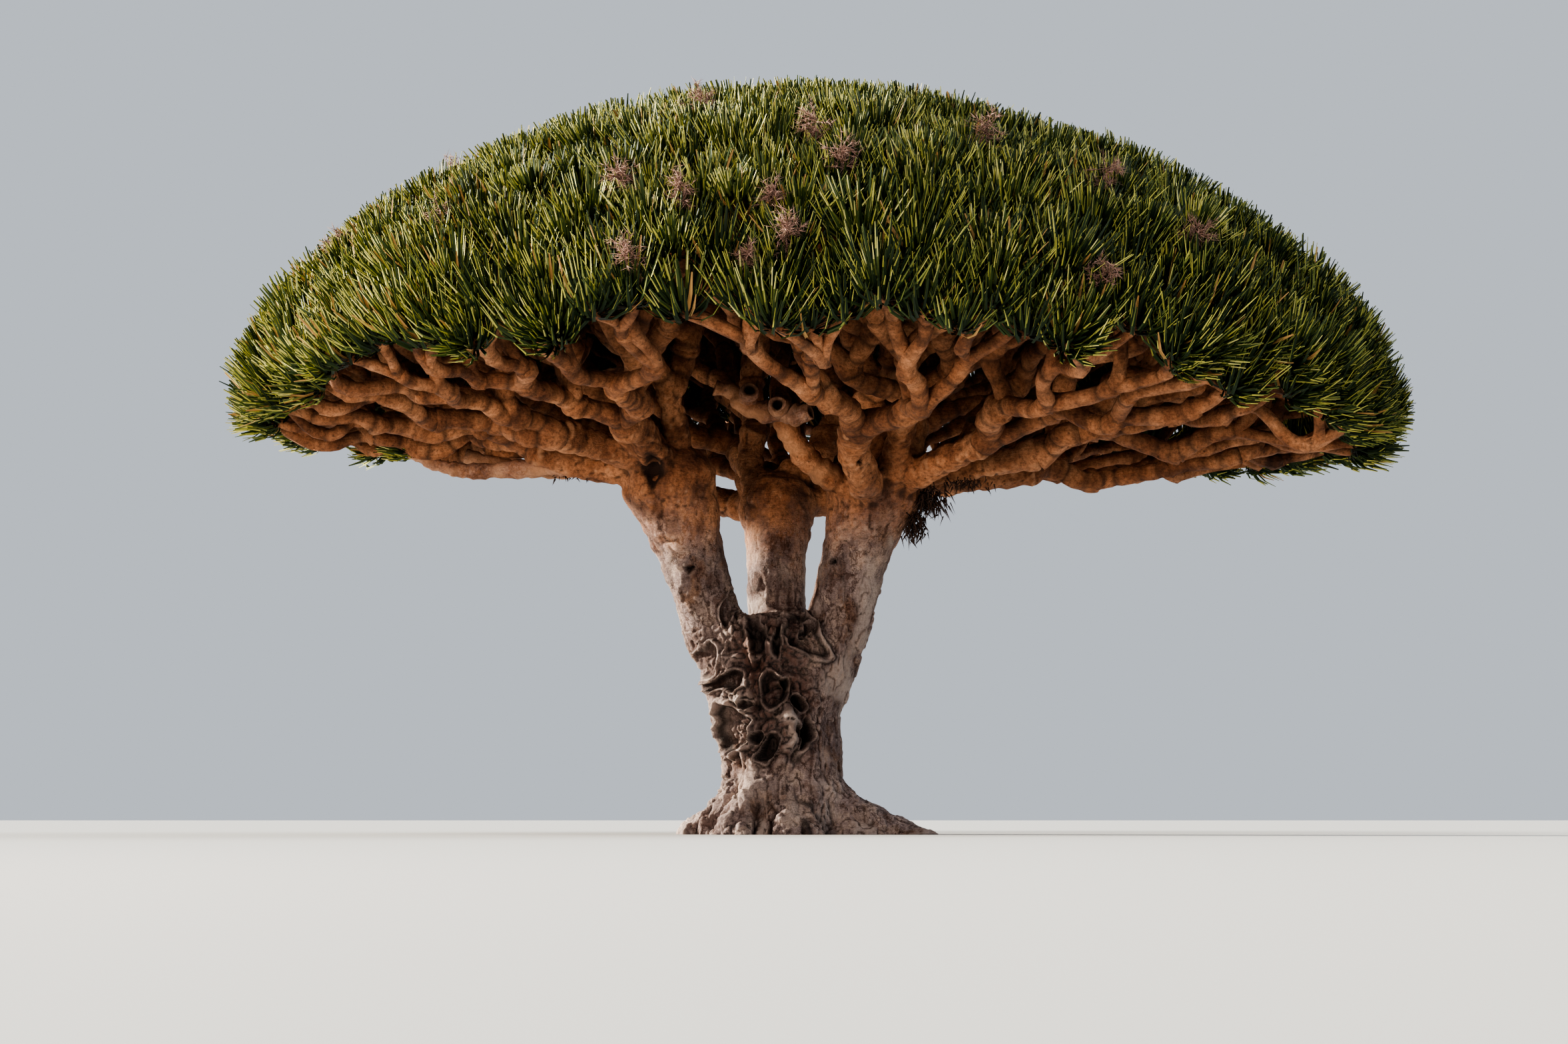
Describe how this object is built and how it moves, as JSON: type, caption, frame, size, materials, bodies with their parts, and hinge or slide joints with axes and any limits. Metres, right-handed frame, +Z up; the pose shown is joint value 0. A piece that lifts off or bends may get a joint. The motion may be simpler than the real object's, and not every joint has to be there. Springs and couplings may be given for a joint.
{
  "type": "dragon blood tree",
  "caption": "Umbrella-shaped dragon blood tree: fluted trunk, three stems, forking boughs and a dense dome of sword leaves.",
  "frame": {"origin": "on the ground under the trunk, in the flat cut of the trunk's foot", "axes": "+Z up along the trunk; -Y is the side seen in the picture; +X is its right"},
  "size_m": [9.4275, 8.5675, 6.0354],
  "materials": {
    "trunk_bark": "rough pale grey-brown bark that peels",
    "limb_bark": "matt warm brown bark with ring scars",
    "foliage": "satin leaves, olive green"
  },
  "bodies": {
    "root": {"trunk": "trunk_bark", "stem_right": "trunk_bark", "stem_rear": "trunk_bark", "stem_left": "trunk_bark", "bough_right_1": "limb_bark", "bough_right_2": "limb_bark", "bough_right_3": "limb_bark", "bough_right_4": "limb_bark", "bough_right_5": "limb_bark", "bough_right_6": "limb_bark", "bough_right_7": "limb_bark", "bough_right_8": "limb_bark", "bough_rear_1": "limb_bark", "bough_rear_2": "limb_bark", "bough_rear_3": "limb_bark", "bough_rear_4": "limb_bark", "bough_rear_5": "limb_bark", "bough_rear_6": "limb_bark", "bough_rear_7": "limb_bark", "bough_rear_8": "limb_bark", "bough_left_1": "limb_bark", "bough_left_2": "limb_bark", "bough_left_3": "limb_bark", "bough_left_4": "limb_bark", "bough_left_5": "limb_bark", "bough_left_6": "limb_bark", "bough_left_7": "limb_bark", "bough_left_8": "limb_bark", "cut_limb": "trunk_bark", "dead_limb_1": "trunk_bark", "dead_limb_2": "trunk_bark", "foliage_right_1": "foliage", "foliage_right_2": "foliage", "foliage_right_3": "foliage", "foliage_right_4": "foliage", "foliage_right_5": "foliage", "foliage_right_6": "foliage", "foliage_right_7": "foliage", "foliage_right_8": "foliage", "foliage_rear_1": "foliage", "foliage_rear_2": "foliage", "foliage_rear_3": "foliage", "foliage_rear_4": "foliage", "foliage_rear_5": "foliage", "foliage_rear_6": "foliage", "foliage_rear_7": "foliage", "foliage_rear_8": "foliage", "foliage_left_1": "foliage", "foliage_left_2": "foliage", "foliage_left_3": "foliage", "foliage_left_4": "foliage", "foliage_left_5": "foliage", "foliage_left_6": "foliage", "foliage_left_7": "foliage", "foliage_left_8": "foliage"}
  },
  "joints": []
}
